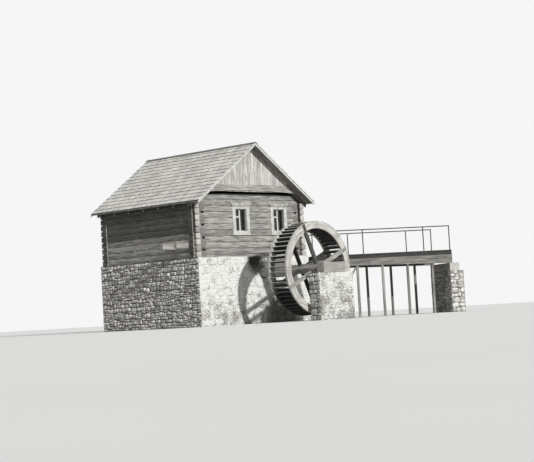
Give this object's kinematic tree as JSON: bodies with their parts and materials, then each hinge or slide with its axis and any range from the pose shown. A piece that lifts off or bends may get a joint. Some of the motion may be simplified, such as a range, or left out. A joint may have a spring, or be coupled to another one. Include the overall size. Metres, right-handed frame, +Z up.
{
  "type": "watermill",
  "caption": "Log-walled watermill on a masonry foundation, with a paddle wheel on a shaft out to a bearing pier, and a railed sluice bridge.",
  "frame": {"origin": "left front corner of the log house, at the lowest ground level under the front foundation", "axes": "+X along the gable front to the right, +Y back along the ridge, +Z up"},
  "size_m": [16.8197, 12.025, 8.7307],
  "materials": {
    "limewashed_masonry": "limewash on lime plaster",
    "rubble_masonry": "field stones in lime mortar",
    "hewn_logs": "weathered hewn pine",
    "sawn_timber": "sawn pine, weathered",
    "floor_boards": "worn planks",
    "roof_boards": "rough sawn boards",
    "roof_covering": "weathered shingles",
    "white_paint": "old white paint on boards",
    "gable_boards": "weathered upright boards",
    "window_glass": "clear, dark behind",
    "wheel_timber": "wet and dried oak",
    "shaft_timber": "round oak log",
    "bridge_timber": "weathered planks and beams",
    "rail_iron": "old dark paint, rusty"
  },
  "bodies": {
    "mill": {"front_foundation": "limewashed_masonry", "left_foundation": "rubble_masonry", "right_foundation": "rubble_masonry", "back_foundation": "rubble_masonry", "front_log_wall": "hewn_logs", "left_log_wall": "hewn_logs", "right_log_wall": "hewn_logs", "back_log_wall": "hewn_logs", "floor_joists": "sawn_timber", "floor_boards": "floor_boards", "left_rafters": "sawn_timber", "right_rafters": "sawn_timber", "left_roof_boarding": "roof_boards", "right_roof_boarding": "roof_boards", "left_roof_covering": "roof_covering", "right_roof_covering": "roof_covering", "ridge_boards": "roof_boards", "front_barge_boards": "white_paint", "back_barge_boards": "white_paint", "front_gable_boards": "gable_boards", "back_gable_boards": "gable_boards", "front_skirt": "gable_boards", "back_skirt": "gable_boards", "front_window_casings": "white_paint", "back_window_casings": "white_paint", "front_window_sashes": "white_paint", "back_window_sashes": "white_paint", "front_window_glass": "window_glass", "back_window_glass": "window_glass", "outer_pier": "limewashed_masonry", "outer_bearing": "sawn_timber", "inner_bearing": "sawn_timber", "bridge_deck": "bridge_timber", "bridge_beams": "bridge_timber", "bridge_posts": "bridge_timber", "front_railing": "rail_iron", "back_railing": "rail_iron", "bridge_sills": "sawn_timber", "bridge_abutments": "rubble_masonry"},
    "wheel": {"wheel_shaft": "shaft_timber", "near_rim": "wheel_timber", "far_rim": "wheel_timber", "near_arms": "wheel_timber", "far_arms": "wheel_timber", "paddles": "wheel_timber"}
  },
  "joints": [
    {"name": "wheel_spin", "type": "hinge", "parent": "mill", "child": "wheel", "pos_m": [4.2, -3.354, 2.45], "axis": [0, 1, 0], "continuous": true}
  ]
}
